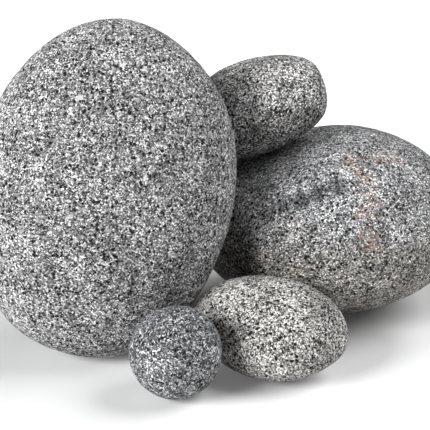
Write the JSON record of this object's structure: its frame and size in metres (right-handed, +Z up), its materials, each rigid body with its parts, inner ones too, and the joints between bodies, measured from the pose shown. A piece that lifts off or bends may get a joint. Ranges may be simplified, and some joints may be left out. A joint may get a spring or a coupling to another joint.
{
  "type": "massage stone set",
  "caption": "Loose tumbled stones for hot stone massage, in a pile: a big stone leans on a lying stone, which carries a smaller stone, with small stones in front.",
  "frame": {"origin": "on the table top, under the middle of the pile's bounding box", "axes": "+X to the right of someone facing the pile, along its longest side; -Y towards them; +Z up"},
  "size_m": [0.1628, 0.1224, 0.1067],
  "materials": {
    "lying_rock": "matte",
    "standing_rock": "matte",
    "top_rock": "matte",
    "pale_rock": "matte",
    "round_rock": "matte"
  },
  "bodies": {
    "lying_stone": {"lying_stone": "lying_rock"},
    "standing_stone": {"standing_stone": "standing_rock"},
    "top_stone": {"top_stone": "top_rock"},
    "pale_stone": {"pale_stone": "pale_rock"},
    "round_stone": {"round_stone": "round_rock"}
  },
  "joints": [
    {"name": "standing_stone_lift", "type": "slide", "parent": "lying_stone", "child": "standing_stone", "axis": [-0.398, -0.199, 0.8955], "range_m": [0, 0.12]},
    {"name": "top_stone_lift", "type": "slide", "parent": "lying_stone", "child": "top_stone", "axis": [0.1995, 0.2494, 0.9476], "range_m": [0, 0.12]},
    {"name": "pale_stone_lift", "type": "slide", "parent": "lying_stone", "child": "pale_stone", "axis": [0.6515, -0.5513, 0.5212], "range_m": [0, 0.12]},
    {"name": "round_stone_lift", "type": "slide", "parent": "lying_stone", "child": "round_stone", "axis": [-0.2008, -0.7027, 0.6826], "range_m": [0, 0.12]}
  ]
}
